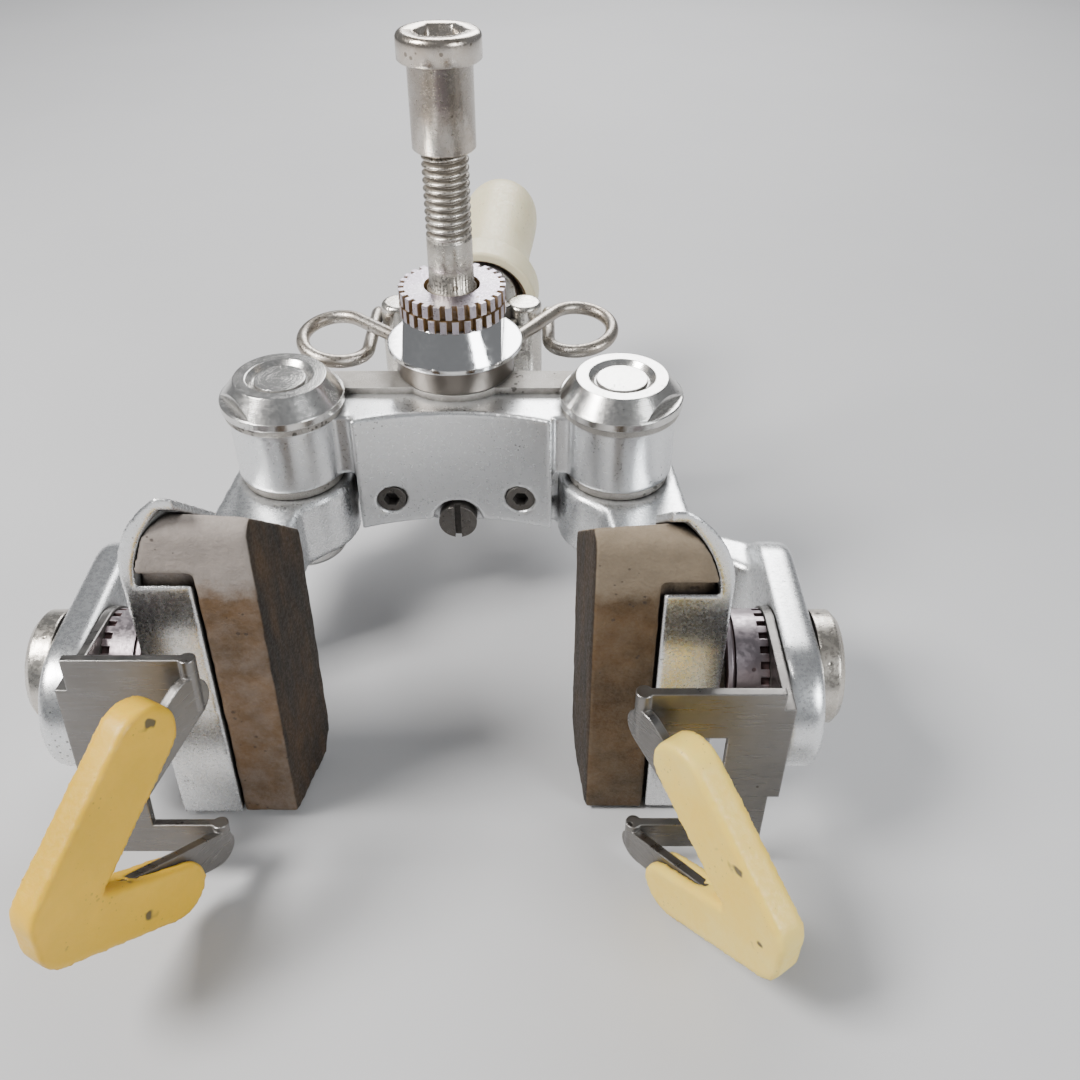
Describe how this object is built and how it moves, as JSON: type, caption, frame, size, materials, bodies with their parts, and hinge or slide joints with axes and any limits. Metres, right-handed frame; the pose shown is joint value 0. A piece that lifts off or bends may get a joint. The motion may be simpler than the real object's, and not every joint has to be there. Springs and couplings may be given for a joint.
{
  "type": "rim brake caliper",
  "caption": "Single-plane dual-pivot rim brake caliper with bridge, coupled arms, looped springs, cable adjuster, slotted pad mounts and coated wheel guides.",
  "frame": {"origin": "on the mounting bolt's axis, at the seat face of the serrated washer", "axes": "+Z along the bolt out of the back of the caliper, +X to the right seen from the back, +Y towards the cable side; the pads hang towards -Y"},
  "size_m": [0.0914, 0.1319, 0.0776],
  "materials": {
    "bolt_steel": "plated steel with warm tarnish",
    "washer_steel": "satin steel, grimy between the teeth",
    "chromed_nut": "polished chrome",
    "stamped_steel": "stamped steel with rough edges",
    "forged_alloy": "polished alloy with fine pits",
    "dark_screws": "dark oxide",
    "arm_alloy": "polished alloy",
    "post_steel": "turned steel",
    "cream_plastic": "aged cream plastic",
    "pivot_steel": "turned steel with fine rings",
    "bush_bronze": "sintered bronze",
    "spring_wire": "spring wire",
    "pad_rubber": "aged rubber with dust",
    "holder_alloy": "bright alloy",
    "stud_steel": "plated steel",
    "stained_washer": "stained steel",
    "pad_nut_steel": "plated steel with tarnish",
    "guide_steel": "brushed steel",
    "coating_right": "pale yellow dipped coating",
    "coating_left": "golden yellow dipped coating"
  },
  "bodies": {
    "caliper_body": {"mounting_bolt": "bolt_steel", "serrated_washer": "washer_steel", "bridge": "forged_alloy", "tie_plate": "stamped_steel", "grub_screws": "dark_screws", "pivot_bolt_right": "pivot_steel", "pivot_nut_right": "pivot_steel", "thrust_washer_right": "stamped_steel", "pivot_bolt_left": "pivot_steel", "pivot_nut_left": "pivot_steel", "thrust_washer_left": "stamped_steel", "return_spring_right": "spring_wire", "return_spring_left": "spring_wire"},
    "fixing_nut": {"recessed_nut": "bolt_steel"},
    "centring_nut_body": {"centring_nut": "chromed_nut"},
    "right_arm_body": {"right_arm": "arm_alloy", "pivot_bush_right": "bush_bronze", "cable_post_right": "post_steel", "cable_clamp_washer": "post_steel", "cable_clamp_screw": "dark_screws", "link_screw": "dark_screws"},
    "left_arm_body": {"left_arm": "arm_alloy", "pivot_bush_left": "bush_bronze", "spring_post_left": "post_steel", "link_pin": "dark_screws"},
    "cable_adjuster": {"adjuster_screw": "bolt_steel", "adjuster_ring": "cream_plastic", "adjuster_cover": "cream_plastic"},
    "pad_slide_right": {"toe_washer_hollow_right": "stained_washer", "pad_nut_right": "pad_nut_steel"},
    "pad_right": {"brake_pad_right": "pad_rubber", "pad_holder_right": "holder_alloy", "pad_stud_right": "stud_steel", "toe_washer_convex_right": "stained_washer"},
    "guide_right": {"wheel_guide_right": "guide_steel", "guide_coating_right": "coating_right"},
    "pad_slide_left": {"toe_washer_hollow_left": "stained_washer", "pad_nut_left": "pad_nut_steel"},
    "pad_left": {"brake_pad_left": "pad_rubber", "pad_holder_left": "holder_alloy", "pad_stud_left": "stud_steel", "toe_washer_convex_left": "stained_washer"},
    "guide_left": {"wheel_guide_left": "guide_steel", "guide_coating_left": "coating_left"}
  },
  "joints": [
    {"name": "right_arm_swing", "type": "hinge", "parent": "caliper_body", "child": "right_arm_body", "pos_m": [0.0225, -0.009, -0.028], "axis": [0, 0, -1], "range_deg": [0, 12], "stiffness_Nm_per_rad": 0.5, "springref_deg": -8.59, "deforming": ["return_spring_right"]},
    {"name": "left_arm_swing", "type": "hinge", "parent": "caliper_body", "child": "left_arm_body", "pos_m": [-0.0225, -0.009, -0.028], "axis": [0, 0, 1], "range_deg": [0, 12], "stiffness_Nm_per_rad": 0.5, "springref_deg": -8.59, "deforming": ["return_spring_left"]},
    {"name": "centring_turn", "type": "hinge", "parent": "caliper_body", "child": "centring_nut_body", "pos_m": [0, 0, -0.008], "axis": [0, 0, 1], "range_deg": [-8, 8]},
    {"name": "fixing_nut_turn", "type": "hinge", "parent": "caliper_body", "child": "fixing_nut", "pos_m": [0, 0, 0.024], "axis": [0, 0, 1], "continuous": true},
    {"name": "adjuster_turn", "type": "hinge", "parent": "caliper_body", "child": "cable_adjuster", "pos_m": [0.0026, 0.021, -0.013], "axis": [0.0866, 0.9898, 0.1132], "continuous": true},
    {"name": "pad_height_right", "type": "slide", "parent": "right_arm_body", "child": "pad_slide_right", "axis": [0, 1, 0], "range_m": [-0.004, 0.004]},
    {"name": "pad_tilt_right", "type": "hinge", "parent": "pad_slide_right", "child": "pad_right", "pos_m": [0.034, -0.0435, -0.0275], "axis": [1, 0, 0], "range_deg": [-10, 10]},
    {"name": "guide_tilt_right", "type": "hinge", "parent": "pad_slide_right", "child": "guide_right", "pos_m": [0.037, -0.0435, -0.0275], "axis": [1, 0, 0], "range_deg": [-6, 6]},
    {"name": "pad_height_left", "type": "slide", "parent": "left_arm_body", "child": "pad_slide_left", "axis": [0, 1, 0], "range_m": [-0.004, 0.004]},
    {"name": "pad_tilt_left", "type": "hinge", "parent": "pad_slide_left", "child": "pad_left", "pos_m": [-0.034, -0.0435, -0.0275], "axis": [1, 0, 0], "range_deg": [-10, 10]},
    {"name": "guide_tilt_left", "type": "hinge", "parent": "pad_slide_left", "child": "guide_left", "pos_m": [-0.037, -0.0435, -0.0275], "axis": [1, 0, 0], "range_deg": [-6, 6]}
  ],
  "couplings": [
    {"joint": "left_arm_swing", "follows": "right_arm_swing", "ratio": 1}
  ]
}
